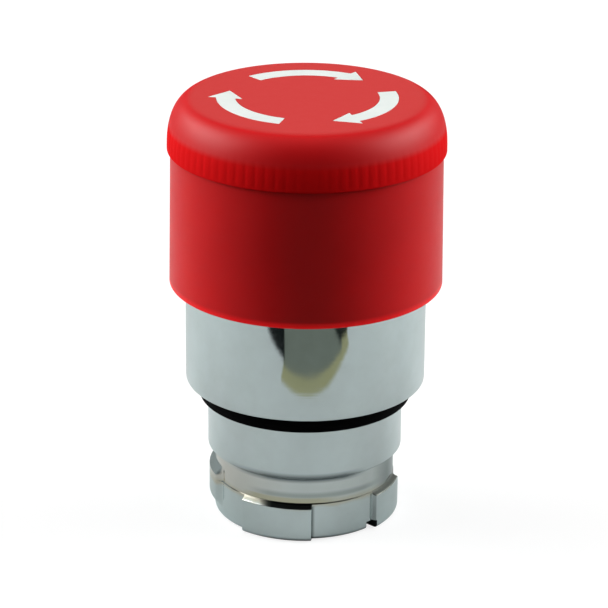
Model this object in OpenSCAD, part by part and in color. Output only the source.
// Emergency stop push button head for a 22 mm panel hole: latching mushroom
// head, released by a clockwise turn, in a die-cast body with a rear bayonet.
// Units are millimetres. +Z points out of the panel along the button's axis,
// z = 0 is the panel's front face, and -Y is the front of the bayonet ring.
// The model shows the head released, with the cap fully out.

/* [Panel fitting] */
// Diameter of the barrel that goes through the panel hole
barrel_d = 22; // [21.4:0.1:22]
// Thickness of the gasket between the bezel and the panel
gasket_t = 2; // [1.8:0.1:2.2]
// Outside diameter of the gasket
gasket_d = 24.2; // [24:0.1:25]

/* [Bezel] */
// Outside diameter of the bezel tube
bezel_d = 27; // [26.4:0.1:27.2]
// Height of the bezel tube's rim above the panel
bezel_top = 21.5; // [20:0.1:21.5]

/* [Head] */
// Diameter over the cap's grip band
cap_d = 31; // [30.8:0.1:31.6]
// Height of the cap's flat top above the panel
cap_top = 35.1; // [35:0.1:36]
// Radius of the flat part of the cap's top
cap_flat_r = 12.3; // [11:0.1:12.6]
// Squareness of the dome's shoulder, where 2 is an ellipse
dome_n = 2.35; // [2:0.05:3]
// Diameter of the skirt at its upper end
skirt_d_top = 30.26; // [30:0.02:30.4]
// Diameter of the skirt at its lower end
skirt_d_low = 30.62; // [30.4:0.02:30.7]
// Height of the skirt's lower edge above the panel
skirt_bottom = 13.7; // [13.2:0.1:14.4]

/* [Action] */
// Turn that frees the latch, in degrees
release_turn = 45; // [44:1:48]

/* [Stem and latch] */
// Diameter of the stem
stem_d = 5.96; // [5.9:0.02:5.98]
// Radius over the stem's three latch lobes
lobe_r = 5.7; // [5.5:0.05:5.7]
// Half of the angle each lobe covers, in degrees
lobe_half = 14; // [11:1:14]
// Wire diameter of the three-sided latch spring
latch_wire_d = 0.8; // [0.7:0.05:0.8]

/* [Springs] */
// Wire diameter of the return spring
return_wire_d = 1.1; // [0.9:0.05:1.15]
// Mean radius of the return spring
return_r = 9.55; // [9.4:0.05:9.65]
// Coils of the return spring, with its two closed end coils
return_coils = 7.5; // [6.5:0.5:8.5]
// Wire diameter of the torsion spring
torsion_wire_d = 0.8; // [0.6:0.05:0.8]
// Mean radius of the torsion spring
torsion_r = 7.3; // [7.25:0.05:7.4]

/* [Hidden] */
$fn = 96;

// Colours
RED = "#c5121b";
WHITE = "#f2f2ee";
CHROME = "#c9cccd";
BLACK = "#17181a";
NATURAL = "#e9e5d8";
STEEL = "#a9adb0";
ZINC = "#c7c3ac";
BRASS = "#c8a251";

// Angles about the axis shared by several pieces
DRIVE_ANGLES = [30, 150, 270];   // splines, keyways and latch lobes
CORNER_ANGLES = [90, 210, 330];  // latch spring pocket and E-clip prongs
LEG_ANGLES = [0, 180];           // actuator legs and pads

// Barrel and bayonet; each land and the key is a [start, end] angle
barrel_r = barrel_d / 2;
neck_r = barrel_r - 0.85;
ring_r = barrel_r - 0.78;
land_r = barrel_r - 0.25;
key_r = barrel_r - 0.13;
bore_r = 9;
barrel_end = -5.8;
neck_top = -6.45;
ring_top = -9.3;
foot_z = -13.8;
LANDS = [[-131, -85], [-41, 5], [49, 95]];
KEY = [158, 204];

// Bezel cup
bezel_r = bezel_d / 2;
cup_r = 12;
floor_z = 4;

// Cap, hub and the snap joint between cap and skirt
cap_r = cap_d / 2;
band_low = 29.25;
band_top = 29.6;
roof_z = cap_top - 1.9;
hub_r = 5;
hub_low = 15.2;
spline_r = 5.8;
spline_w = 1.5;
spigot_r = 13.72;
skirt_bore_r = spigot_r + 0.08;
snap_low = 27.85;
snap_top = 28.75;
arrow_t = 0.35;
arrow_at = [-1.5, 119.7, 241.2];  // within a degree or two of even spacing

// Stem, roll pin and latch
stem_r = stem_d / 2;
stem_top = 30;
guide_r = 3.02;
pin_z = 26;
pin_r = 1;
pin_bore_r = pin_r + 0.02;
lobe_top = 2.7;
lobe_low = -1.3;

// Bushes, split across the chamber that holds the lobes
bush_r = bore_r - 0.05;
chamber_r = 6;
chamber_top = 3;
split_z = -1.65;
chamber_low = -7.1;
latch_z = split_z - 0.4;
bush_low = -9.5;
flange_r = cup_r - 0.2;
bush_top = 9.6;
recess_z = 8.2;
o_ring_z = 2.25;
seal_r = 5;
seal_z = 5.4;
seal_fit_r = seal_r - 0.02;
bush_peg_y = -10.5;
bush_peg_r = 0.8;
clip_groove_r = 9.5;
clip_groove_h = 1.1;

// Spring plate, spring seat, turn sleeve and torsion spring
plate_top = bush_top + 0.8;
plate_peg_x = 11;
plate_peg_r = 0.5;
seat_low = 31;
seat_top = seat_low + 0.8;
sleeve_low = recess_z + 0.05;
sleeve_flange_top = bush_top - 0.15;
sleeve_top = 21;
stop_lug = [80, 100];  // start and end angle
torsion_turns = 6.25;
torsion_start = 150;
torsion_end = torsion_start - 360 * torsion_turns;
torsion_top = 19;

// Actuator
leg_r_in = 6.7;
leg_r_out = 8.1;
leg_half = 14.5;
stem_hole_r = 2.03;

// --- helpers -------------------------------------------------------------

// Copies of a child turned about the axis
module around(angles) {
    for (a = angles) rotate([0, 0, a]) children();
}

// Sector of a disc between two angles, as a flat outline reaching radius
module pie(start, end, radius) {
    steps = 6;
    step = (end - start) / steps;
    polygon(concat([[0, 0]],
        [for (i = [0 : steps]) let (a = start + step * i)
            radius / cos(step / 2) * [cos(a), sin(a)]]));
}

// A revolved outline, kept only between two angles and two heights
module sector(start, end, low, top) {
    intersection() {
        rotate_extrude() children();
        translate([0, 0, low]) linear_extrude(top - low) pie(start, end, 30);
    }
}

// Plain ring
module ring(r_in, r_out, low, top) {
    difference() {
        translate([0, 0, low]) cylinder(r = r_out, h = top - low);
        translate([0, 0, low - 1]) cylinder(r = r_in, h = top - low + 2);
    }
}

// Ring with chamfered outer and inner edges
module eased_ring(r_in, r_out, low, top, ease) {
    rotate_extrude() polygon([[r_in + ease, low], [r_out - ease, low],
        [r_out, low + ease], [r_out, top - ease], [r_out - ease, top],
        [r_in + ease, top], [r_in, top - ease], [r_in, low + ease]]);
}

// Places a child on the roll pin's axis, along Y
module on_pin_axis() {
    translate([0, 0, pin_z]) rotate([90, 0, 0]) children();
}

// Rectangle outline in [radius, height]
function box(r_in, r_out, low, top) =
    [[r_in, low], [r_out, low], [r_out, top], [r_in, top]];

// Quarter of a superellipse from (r_in, top) round to (r_out, low)
function shoulder(r_in, r_out, low, top, power, steps) =
    [for (i = [0 : steps]) let (t = 90 * i / steps)
        [r_in + (r_out - r_in) * pow(sin(t), 2 / power),
         low + (top - low) * pow(cos(t), 2 / power)]];

// Arc of points about (x, z)
function arc(x, z, radius, start, end, steps) =
    [for (i = [0 : steps]) let (a = start + (end - start) * i / steps)
        [x + radius * cos(a), z + radius * sin(a)]];

function reverse(points) = [for (i = [len(points) - 1 : -1 : 0]) points[i]];

// Height along a coil spring after some turns, with one closed coil at each end
function coil_z(turn, turns, low, top, wire_d) =
    let (closed = wire_d * 1.03, pitch = (top - low - 2 * closed) / (turns - 2))
    turn < 1 ? low + closed * turn
    : turn > turns - 1 ? top - closed * (turns - turn)
    : low + closed + pitch * (turn - 1);

// Round wire swept through points, each with its own outward direction
module wire(points, outs, wire_d, sides) {
    last = len(points) - 1;
    verts = [for (i = [0 : last])
        let (before = points[max(0, i - 1)], after = points[min(last, i + 1)],
            along = (after - before) / norm(after - before),
            side = cross(along, outs[i]))
        for (k = [0 : sides - 1]) let (a = 360 * k / sides)
            points[i] + wire_d / 2 * (cos(a) * outs[i] + sin(a) * side)];
    // two triangles for each facet between neighbouring sections
    walls = [for (half = [0, 1], i = [0 : last - 1], k = [0 : sides - 1])
        let (here = i * sides, ahead = here + sides, next = (k + 1) % sides)
        half == 0 ? [here + k, ahead + k, here + next]
                  : [here + next, ahead + k, ahead + next]];
    polyhedron(verts, concat(
        [[for (k = [0 : sides - 1]) k]],
        walls,
        [[for (k = [sides - 1 : -1 : 0]) last * sides + k]]));
}

// Coil spring wire between two end heights; hand is 1 where the coil rises
// anticlockwise seen from +Z, and -1 where it rises clockwise
module coil(mean_r, turns, steps, start, hand, low, top, pitch_d, wire_d) {
    turned = [for (i = [0 : steps]) turns * i / steps];
    outs = [for (t = turned) let (a = start + hand * 360 * t) [cos(a), sin(a), 0]];
    points = [for (i = [0 : steps])
        mean_r * outs[i] + [0, 0, coil_z(turned[i], turns, low, top, pitch_d)]];
    wire(points, outs, wire_d, 8);
}

// --- head ------------------------------------------------------------------

// One clockwise arrow: a curved shaft with a pointed head
module arrow(height) {
    head_angle = 64.3;
    intersection() {
        ring(7.95, 10.05, 0, height);
        linear_extrude(height) pie(60, 132.7, 20);
    }
    // the head's point leans in, back onto the shaft's circle
    linear_extrude(height) translate(9.05 * [cos(head_angle), sin(head_angle)])
        rotate(-39.5) polygon([[0, -1.95], [2.75, 0], [0, 1.95]]);
}

module arrows(height) {
    around(arrow_at) translate([0, 0, cap_top - arrow_t]) arrow(height);
}

module cap() {
    overlap = 0.01;
    rib_w = 1.2;
    rib_low = seat_top + 0.3;
    dome = concat([[0, cap_top]],
        shoulder(cap_flat_r, cap_r, band_top, cap_top, dome_n, 18),
        [[cap_r, band_low + 0.15], [cap_r - 0.15, band_low]]);
    // spigot that snaps into the skirt, with a raised bead
    spigot = [[spigot_r, band_low], [spigot_r, snap_top],
        [spigot_r + 0.2, snap_top - 0.3], [spigot_r + 0.2, snap_low + 0.3],
        [spigot_r, snap_low], [spigot_r - 0.2, 27.3], [12.7, 27.3], [12.6, 27.4]];
    inside = reverse(shoulder(10.2, 12.6, 29.6, roof_z, 2.3, 10));
    color(RED) difference() {
        union() {
            rotate_extrude() polygon(concat(dome, spigot, inside, [[0, roof_z]]));
            // hub that takes the stem, with three driving splines
            translate([0, 0, hub_low]) cylinder(r = hub_r, h = roof_z - hub_low + 0.5);
            around(DRIVE_ANGLES) translate([0, -spline_w / 2, hub_low + 0.4])
                cube([spline_r, spline_w, roof_z - hub_low]);
            // landing ring for the spring seat, and roof ribs
            ring(8.6, 11, seat_top, roof_z + 0.5);
            around([0 : 60 : 300]) translate([hub_r - 0.5, -rib_w / 2, rib_low])
                cube([8.2, rib_w, roof_z - seat_top]);
        }
        // stem bore with a lead-in
        translate([0, 0, hub_low - 1])
            cylinder(r = guide_r, h = stem_top + 0.3 - hub_low + 1);
        translate([0, 0, hub_low - overlap])
            cylinder(r1 = guide_r + 0.4, r2 = guide_r, h = 0.4);
        on_pin_axis() cylinder(r = pin_bore_r, h = 14, center = true);
        arrows(arrow_t + 1);
    }
}

module skirt() {
    top_r = skirt_d_top / 2;
    low_r = skirt_d_low / 2;
    top_z = band_low - 0.05;
    groove_r = skirt_bore_r + 0.24;
    round_r = 0.16;
    color(RED) rotate_extrude() polygon(concat(
        [[skirt_bore_r + 0.3, skirt_bottom], [skirt_bore_r, skirt_bottom + 0.3],
         [skirt_bore_r, snap_low], [groove_r, snap_low + 0.27],
         [groove_r, snap_top - 0.27], [skirt_bore_r, snap_top],
         [skirt_bore_r, top_z], [top_r - 0.1, top_z], [top_r, top_z - 0.1]],
        arc(low_r - round_r, skirt_bottom + round_r, round_r, 0, -90, 3)));
}

module arrow_inlays() {
    color(WHITE) arrows(arrow_t);
}

module roll_pin() {
    color(STEEL) on_pin_axis() difference() {
        cylinder(r = pin_r, h = 9.4, center = true, $fn = 48);
        cylinder(r = 0.6, h = 12, center = true, $fn = 48);
        // slit along one side
        translate([0, 0.8, 0]) cube([0.3, 1, 12], center = true);
    }
}

module stem() {
    tail_r = 1.95;
    groove_r = 1.5;
    root_r = 3.6;
    color(ZINC) difference() {
        union() {
            // tail with the E-clip groove, then the shaft with the lobes' root
            rotate_extrude() polygon([[0, -13.1], [tail_r - 0.2, -13.1],
                [tail_r, -12.9], [tail_r, -12.8], [groove_r, -12.8],
                [groove_r, -12.28], [tail_r, -12.28], [tail_r, -10.9],
                [stem_r - 0.2, -10.9], [stem_r, -10.7],
                [stem_r, lobe_low - 0.3], [root_r, lobe_low], [root_r, lobe_top],
                [stem_r, lobe_top], [stem_r, stem_top - 0.4],
                [stem_r - 0.4, stem_top], [0, stem_top]]);
            // lobes: flat locking face on top, lead-in ramp below
            for (a = DRIVE_ANGLES) sector(a - lobe_half, a + lobe_half, -5, 5)
                polygon([[3, lobe_low], [lobe_r - 1, lobe_low],
                    [lobe_r, lobe_low + 1], [lobe_r, lobe_top - 0.1],
                    [lobe_r - 0.1, lobe_top], [3, lobe_top]]);
        }
        on_pin_axis() cylinder(r = pin_bore_r, h = 10, center = true);
    }
}

// --- body --------------------------------------------------------------------

// One bayonet land
module land(angles) {
    root_r = ring_r - 0.6;
    sector(angles[0], angles[1], foot_z - 1, ring_top + 1)
        polygon([[root_r, foot_z], [land_r - 0.4, foot_z],
            [land_r - 0.12, foot_z + 0.12], [land_r, foot_z + 0.4],
            [land_r, ring_top - 0.5], [land_r - 0.12, ring_top - 0.38],
            [root_r, ring_top]]);
}

// Barrel, bezel and cup in one outline
module shell() {
    round_r = 0.45;
    shoulder_r = barrel_r - 0.4;
    foot_low = foot_z + 0.08;
    rotate_extrude() polygon(concat(
        [[bore_r, foot_z + 0.35], [bore_r + 0.35, foot_low],
         [ring_r - 0.4, foot_low], [ring_r - 0.12, foot_z + 0.2],
         [ring_r, foot_z + 0.48], [ring_r, ring_top - 0.1],
         [neck_r, ring_top], [neck_r, neck_top],
         [barrel_r - 0.15, barrel_end - 0.1], [barrel_r, barrel_end + 0.1],
         [barrel_r, 0.06], [shoulder_r, 0.06], [shoulder_r, gasket_t],
         [bezel_r - round_r, gasket_t]],
        arc(bezel_r - round_r, gasket_t + round_r, round_r, -80, 0, 5),
        [[bezel_r, bezel_top - 0.3], [bezel_r - 0.3, bezel_top],
         [cup_r + 0.3, bezel_top], [cup_r, bezel_top - 0.3],
         [cup_r, floor_z], [bore_r + 0.2, floor_z],
         [bore_r, floor_z - 0.2]]));
}

module housing() {
    key_root_r = neck_r - 0.5;
    notch_w = 1.2;
    color(CHROME) difference() {
        union() {
            shell();
            // bayonet lands, the second with a ramp at its far end
            for (i = [0 : 2]) difference() {
                land(LANDS[i]);
                if (i == 1) rotate([0, 0, LANDS[i][1]])
                    translate([8, -2.6, ring_top - 0.35]) rotate([-24, 0, 0])
                        cube([5, 6, 3]);
            }
            // indexing key, higher up the neck, with sloped ends
            sector(KEY[0], KEY[1], -13, -7)
                polygon([[key_root_r, -12.6], [neck_r + 0.05, -12.55],
                    [key_r - 0.1, -11.9], [key_r, -11.65], [key_r, -8.75],
                    [key_r - 0.1, -8.5], [neck_r + 0.05, -7.7], [key_root_r, -7.6]]);
            // peg that keys the guide bush
            translate([0, bush_peg_y, floor_z - 0.5])
                cylinder(r = bush_peg_r, h = 1.9, $fn = 32);
        }
        // groove for the retaining ring
        translate([0, 0, bush_low - clip_groove_h])
            cylinder(r = clip_groove_r, h = clip_groove_h);
        // notch in the foot beside the second land
        rotate([0, 0, -42.8]) translate([7, -notch_w / 2, foot_z - 1])
            cube([5, notch_w, 1.95]);
    }
}

module panel_gasket() {
    inner_r = barrel_r - 0.38;
    outer_r = gasket_d / 2;
    color(BLACK) rotate_extrude() polygon([[inner_r, 0.08],
        [barrel_r + 0.03, 0.08], [barrel_r + 0.05, 0], [outer_r - 0.45, 0],
        [outer_r - 0.2, 0.12], [outer_r - 0.05, 0.45], [outer_r, 0.9],
        [outer_r, gasket_t - 0.35], [outer_r - 0.1, gasket_t - 0.1],
        [outer_r - 0.3, gasket_t], [inner_r, gasket_t]]);
}

module upper_bush() {
    groove_r = 7.55;
    groove_low = o_ring_z - 0.85;
    groove_top = o_ring_z + 0.85;
    rim_r = 8.5;
    notch_w = 2.1;
    stop_gap = 0.6;  // degrees
    color(NATURAL) difference() {
        rotate_extrude() polygon([[chamber_r, split_z], [bush_r - 0.1, split_z],
            [bush_r, split_z + 0.1], [bush_r, groove_low], [groove_r, groove_low],
            [groove_r, groove_top], [bush_r, groove_top], [bush_r, floor_z],
            [flange_r, floor_z], [flange_r, bush_top], [rim_r, bush_top],
            [rim_r, recess_z], [seal_r, recess_z], [seal_r, seal_z],
            [guide_r, seal_z], [guide_r, chamber_top], [chamber_r, chamber_top]]);
        // peg hole, and the pocket that the turn sleeve's stop lug moves in
        translate([0, bush_peg_y, floor_z - 1])
            cylinder(r = bush_peg_r + 0.06, h = 2.6, $fn = 32);
        sector(stop_lug[0] - release_turn - stop_gap, stop_lug[1] + stop_gap,
                recess_z, bush_top + 1)
            polygon(box(8, 9.6, recess_z, bush_top + 1));
        // notch that keys the lower bush
        translate([7.5, -notch_w / 2, split_z - 1]) cube([3, notch_w, 2.3]);
    }
    // small peg that keys the spring plate
    color(NATURAL) translate([plate_peg_x, 0, bush_top - 0.5])
        cylinder(r = plate_peg_r, h = 1.2, $fn = 32);
}

module lower_bush() {
    pocket_low = latch_z - 0.45;
    slot_half = leg_half + 1;
    slot_low = bush_low - 1;
    slot_top = -3;
    key_w = 2;
    color(NATURAL) union() {
        difference() {
            rotate_extrude() polygon([[guide_r, bush_low], [bush_r - 0.15, bush_low],
                [bush_r, bush_low + 0.15], [bush_r, split_z], [chamber_r, split_z],
                [chamber_r, chamber_low], [guide_r, chamber_low]]);
            // three-cornered pocket for the latch spring
            intersection() {
                translate([0, 0, pocket_low]) cylinder(r = 8.4, h = 3);
                translate([0, 0, pocket_low]) linear_extrude(3)
                    polygon([for (a = CORNER_ANGLES) 13.6 * [cos(a), sin(a)]]);
            }
            // blind slots for the actuator's legs
            for (a = LEG_ANGLES) sector(a - slot_half, a + slot_half, slot_low, slot_top)
                polygon(box(leg_r_in - 0.1, leg_r_out + 0.1, slot_low, slot_top));
        }
        // key into the upper bush
        intersection() {
            translate([7.6, -key_w / 2, split_z - 0.6]) cube([3, key_w, 1.7]);
            translate([0, 0, split_z - 1]) cylinder(r = bush_r - 0.02, h = 4);
        }
    }
}

module bush_o_ring() {
    color(BLACK) rotate_extrude() translate([8.27, o_ring_z]) circle(r = 0.7, $fn = 32);
}

module lip_seal() {
    lip_r = stem_r + 0.03;
    color(BLACK) rotate_extrude() polygon([[3.6, seal_z], [seal_fit_r, seal_z],
        [seal_fit_r, 7.4], [4.3, 7.4], [4.1, 6.4], [3.9, 6.4], [3.35, 7.3],
        [lip_r, 7.2], [lip_r, 6.9], [3.3, 6.0]]);
}

module seal_washer() {
    color(STEEL) eased_ring(3.25, seal_fit_r, 7.42, 8.1, 0.1);
}

module lock_ring() {
    slot_w = 2.2;
    color(BRASS) difference() {
        eased_ring(10.7, cup_r - 0.02, plate_top, plate_top + 2, 0.15);
        // four slots in the upper face
        around([45 : 90 : 315]) translate([10, -slot_w / 2, plate_top + 1.1])
            cube([3, slot_w, 2]);
    }
}

module spring_plate() {
    color(STEEL) difference() {
        eased_ring(6.62, flange_r, bush_top, plate_top, 0.08);
        // holes for the bush's peg and the torsion spring's lower leg
        translate([plate_peg_x, 0, bush_top - 1])
            cylinder(r = plate_peg_r + 0.05, h = 3, $fn = 32);
        rotate([0, 0, torsion_start]) translate([torsion_r, 0, bush_top - 1])
            cylinder(r = torsion_wire_d / 2 + 0.03, h = 3, $fn = 32);
    }
}

module retaining_ring() {
    gap = 0.05;
    color(STEEL) difference() {
        eased_ring(8.3, clip_groove_r - 0.04, bush_low - clip_groove_h + gap,
            bush_low - gap, 0.08);
        // gap at the front
        translate([0, 0, -12]) linear_extrude(4) pie(252, 288, 14);
    }
}

// --- turning and sliding parts -------------------------------------------------

module turn_sleeve() {
    bore = 5.2;
    tube_r = 6.5;
    flange = 8.4;
    keyway_w = spline_w + 0.1;
    keyway_in = 4;
    notch_w = 0.9;
    color(BLACK) difference() {
        union() {
            rotate_extrude() polygon([[bore, sleeve_low], [flange - 0.1, sleeve_low],
                [flange, sleeve_low + 0.1], [flange, sleeve_flange_top - 0.1],
                [flange - 0.1, sleeve_flange_top], [tube_r + 0.2, sleeve_flange_top],
                [tube_r, sleeve_flange_top + 0.2], [tube_r, sleeve_top - 0.2],
                [tube_r - 0.2, sleeve_top], [bore + 0.2, sleeve_top],
                [bore, sleeve_top - 0.2]]);
            // stop lug
            sector(stop_lug[0], stop_lug[1], sleeve_low, sleeve_flange_top)
                polygon(box(8, 9.45, sleeve_low, sleeve_flange_top));
        }
        // keyways for the cap's splines
        around(DRIVE_ANGLES) translate([keyway_in, -keyway_w / 2, recess_z + 1])
            cube([spline_r + 0.1 - keyway_in, keyway_w, 20]);
        // notch for the torsion spring's upper leg
        rotate([0, 0, torsion_end]) translate([5.9, -notch_w / 2, torsion_top - 0.6])
            cube([2, notch_w, 4]);
    }
}

module torsion_spring() {
    leg_d = torsion_wire_d * 0.97;
    color(STEEL) union() {
        coil(mean_r = torsion_r, turns = torsion_turns, steps = 132,
            start = torsion_start, hand = -1,
            low = plate_top + torsion_wire_d / 2 + 0.05, top = torsion_top,
            pitch_d = torsion_wire_d, wire_d = torsion_wire_d);
        // lower leg goes down through the plate, upper leg in to the sleeve
        rotate([0, 0, torsion_start]) translate([torsion_r, 0, plate_top - 0.85])
            cylinder(d = leg_d, h = 1.3, $fn = 24);
        rotate([0, 0, torsion_end]) translate([5.96, 0, torsion_top]) rotate([0, 90, 0])
            cylinder(d = leg_d, h = 1.4, $fn = 24);
    }
}

module return_spring() {
    color(STEEL) coil(mean_r = return_r, turns = return_coils,
        steps = return_coils * 24, start = 200, hand = 1,
        low = plate_top + return_wire_d / 2, top = seat_low - return_wire_d / 2,
        pitch_d = return_wire_d, wire_d = return_wire_d * 0.999);
}

module spring_seat() {
    color(STEEL) eased_ring(8.65, 10.95, seat_low, seat_top, 0.1);
}

// Three-sided wire form: straight sides that catch the stem's lobes, with
// rounded corners, open at its first corner
module latch_spring() {
    side_r = 5.8 - latch_wire_d / 2;  // axis to the middle of a side
    bend_r = 3;
    bend_centre_r = 2 * (side_r - bend_r);
    // corner direction, then first and last angle round that corner's bend
    bends = [[90, 12, 60], [210, -60, 60], [330, -60, 60], [450, -60, -12]];
    // each stop is [corner direction, wire's outward direction]
    path = [for (b = bends, turn = [b[1] : 12 : b[2]]) [b[0], b[0] + turn]];
    outs = [for (stop = path) [cos(stop[1]), sin(stop[1]), 0]];
    points = [for (i = [0 : len(path) - 1]) let (corner = path[i][0])
        bend_centre_r * [cos(corner), sin(corner), 0]
        + bend_r * outs[i] + [0, 0, latch_z]];
    color(STEEL) wire(points, outs, latch_wire_d, 12);
}

module actuator() {
    pad_half = 52;
    root_z = -12;
    leg_top = -3.3;
    color(BLACK) difference() {
        union() {
            eased_ring(stem_hole_r, 8.6, -12.6, -11.32, 0.15);
            // two pads that press the contact blocks' plungers
            for (a = LEG_ANGLES) sector(a - pad_half, a + pad_half, -13.4, root_z)
                polygon([[4.2, -13.1], [4.4, -13.3], [8.2, -13.3], [8.4, -13.1],
                    [8.4, root_z], [4.2, root_z]]);
            // guide legs
            for (a = LEG_ANGLES) sector(a - leg_half, a + leg_half, root_z, leg_top + 0.1)
                polygon([[leg_r_in, root_z], [leg_r_out, root_z],
                    [leg_r_out, leg_top - 0.2], [leg_r_out - 0.2, leg_top],
                    [leg_r_in + 0.2, leg_top], [leg_r_in, leg_top - 0.2]]);
        }
        // room for the E-clip
        translate([0, 0, -14]) cylinder(r = 3.9, h = 1.72);
    }
}

module thrust_washer() {
    color(STEEL) ring(stem_hole_r, 4.5, -11.3, -10.92);
}

module e_clip() {
    clip_t = 0.4;
    prong_w = 1.1;
    mouth_w = 3;
    color(STEEL) translate([0, 0, -12.74]) difference() {
        union() {
            difference() {
                cylinder(r = 3.5, h = clip_t);
                translate([0, 0, -1]) cylinder(r = 2.25, h = 3);
            }
            // three prongs that reach into the stem's groove
            around(CORNER_ANGLES) translate([1.3, -prong_w / 2, 0])
                cube([1.4, prong_w, clip_t]);
        }
        translate([0, 0, -1]) cylinder(r = 1.52, h = 3);
        // open mouth
        translate([-mouth_w / 2, -6, -1]) cube([mouth_w, 4.4, 3]);
    }
}

cap();
skirt();
arrow_inlays();
housing();
panel_gasket();
stem();
roll_pin();
upper_bush();
lower_bush();
bush_o_ring();
lip_seal();
seal_washer();
turn_sleeve();
torsion_spring();
spring_plate();
lock_ring();
return_spring();
spring_seat();
latch_spring();
retaining_ring();
actuator();
thrust_washer();
e_clip();
